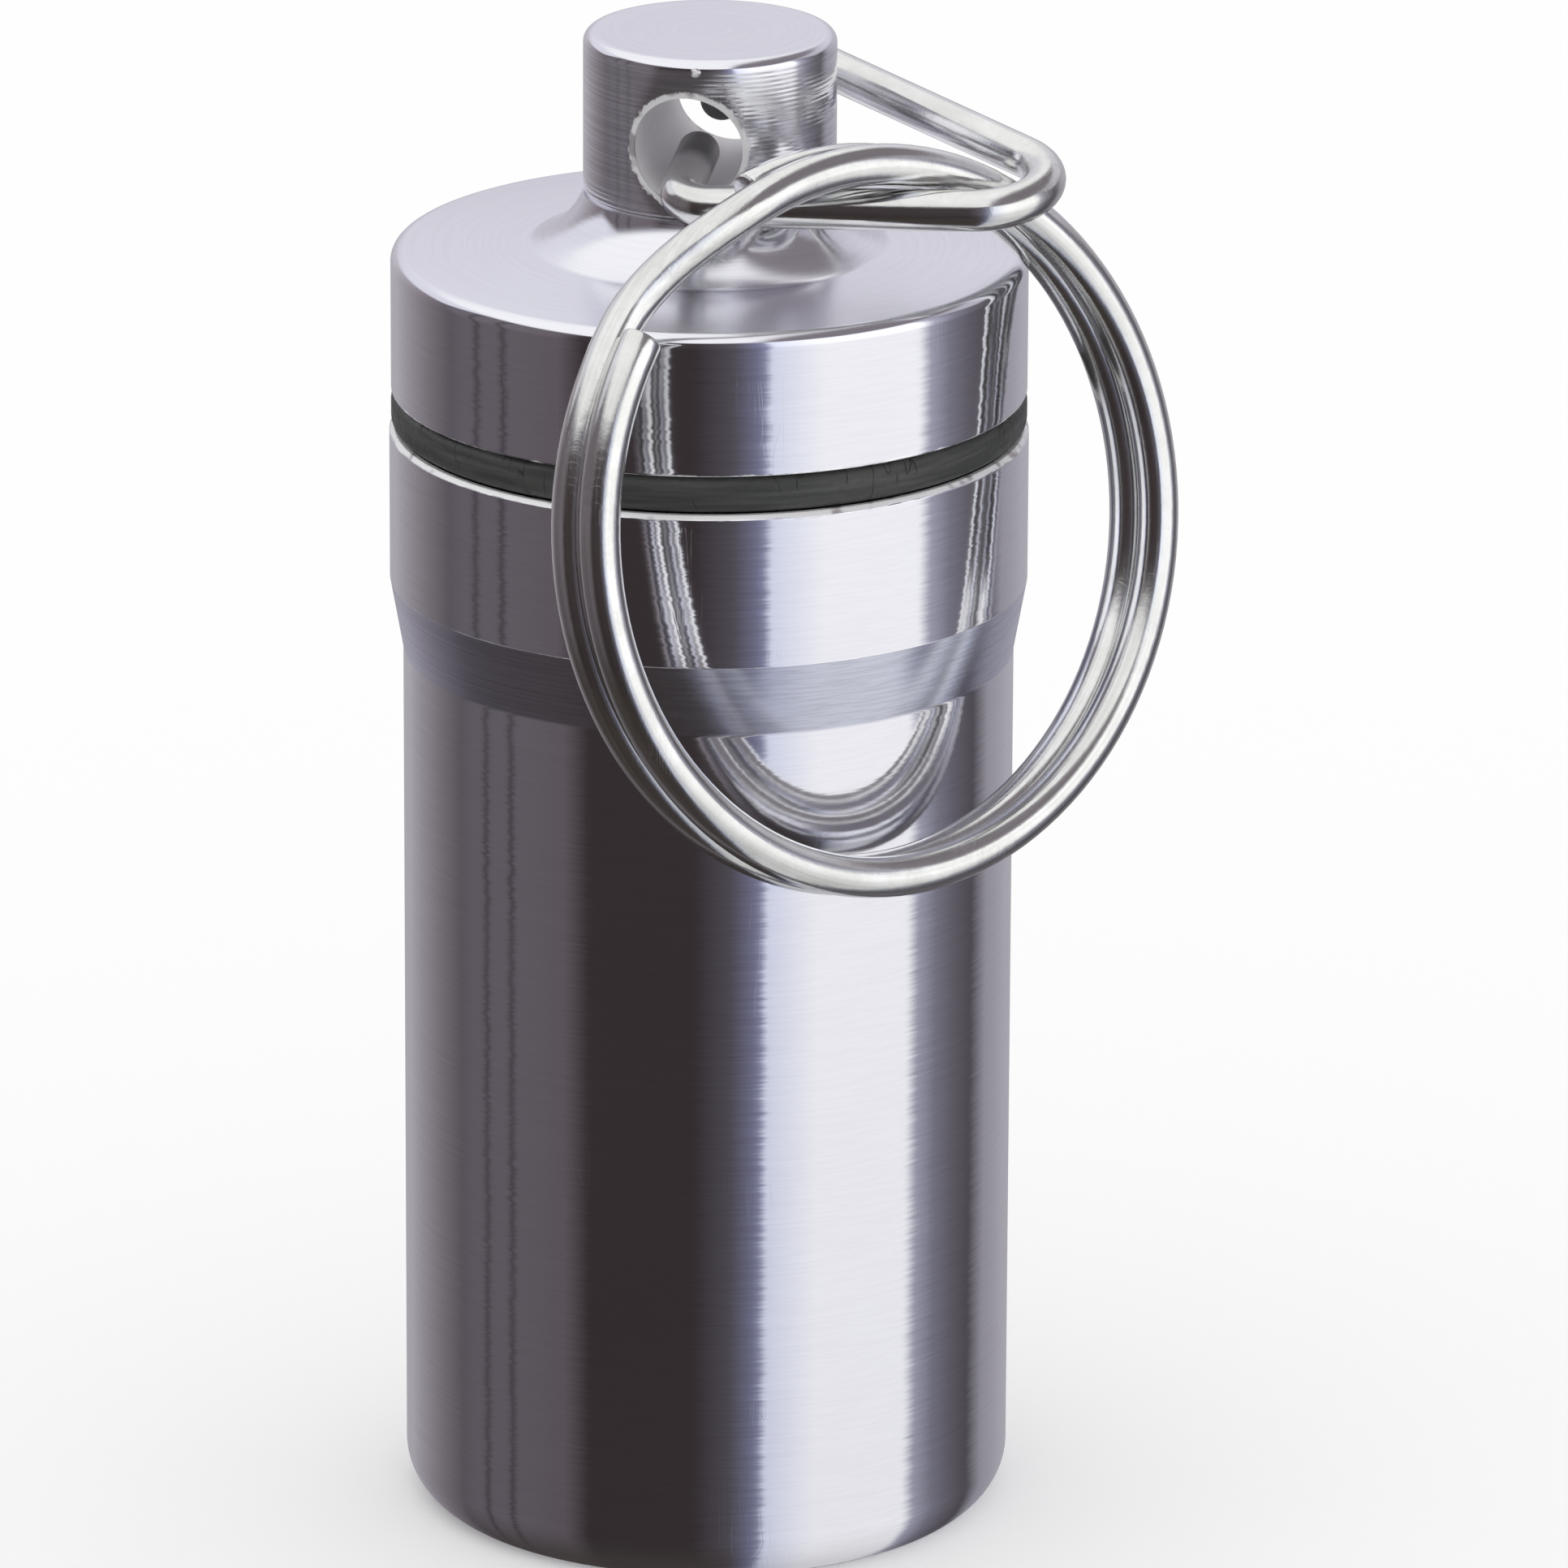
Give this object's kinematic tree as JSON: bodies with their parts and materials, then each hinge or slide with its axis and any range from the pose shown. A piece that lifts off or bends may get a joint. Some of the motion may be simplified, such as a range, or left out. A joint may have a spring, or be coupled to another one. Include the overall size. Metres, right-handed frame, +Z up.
{
  "type": "keychain capsule",
  "caption": "Turned aluminium screw-top capsule with an O-ring seal, a bent wire link through the cap's knob and a split ring that hangs from the link.",
  "frame": {"origin": "centre of the tube's flat foot", "axes": "+Z up the tube's long axis to the knob; the knob's cross hole runs along Y with its front mouth at -Y, and the wire link reaches out along +X"},
  "size_m": [0.0212, 0.023, 0.0407],
  "materials": {
    "tube_metal": "turned and lightly polished, clear, with fine marks round the axis",
    "cap_metal": "turned and lightly polished, clear, with fine marks round the axis",
    "seal_rubber": "dark grey-black rubber with a dull sheen and fine cracks",
    "link_steel": "bright drawn steel wire with fine marks along it",
    "ring_steel": "bright plated steel wire with fine marks along it"
  },
  "bodies": {
    "vial": {"tube": "tube_metal"},
    "seal": {"o_ring": "seal_rubber"},
    "screw_cap": {"cap": "cap_metal"},
    "wire_link": {"link": "link_steel"},
    "key_ring": {"split_ring": "ring_steel"}
  },
  "joints": [
    {"name": "cap_rise", "type": "slide", "parent": "vial", "child": "seal", "axis": [0, 0, 1], "range_m": [0, 0.005]},
    {"name": "cap_turn", "type": "hinge", "parent": "seal", "child": "screw_cap", "pos_m": [0, 0, 0.035], "axis": [0, 0, 1], "range_deg": [0, 1800]},
    {"name": "link_swing", "type": "hinge", "parent": "screw_cap", "child": "wire_link", "pos_m": [0, 0, 0.03809], "axis": [0, -0.9842, -0.1771], "range_deg": [0, 120]},
    {"name": "ring_swing", "type": "hinge", "parent": "wire_link", "child": "key_ring", "pos_m": [0.00495, -0.0036, 0.03686], "axis": [-0.891, -0.454, 0], "range_deg": [0, 45]}
  ],
  "couplings": [
    {"joint": "cap_rise", "follows": "cap_turn", "m_per_rad": 0.00015915}
  ]
}
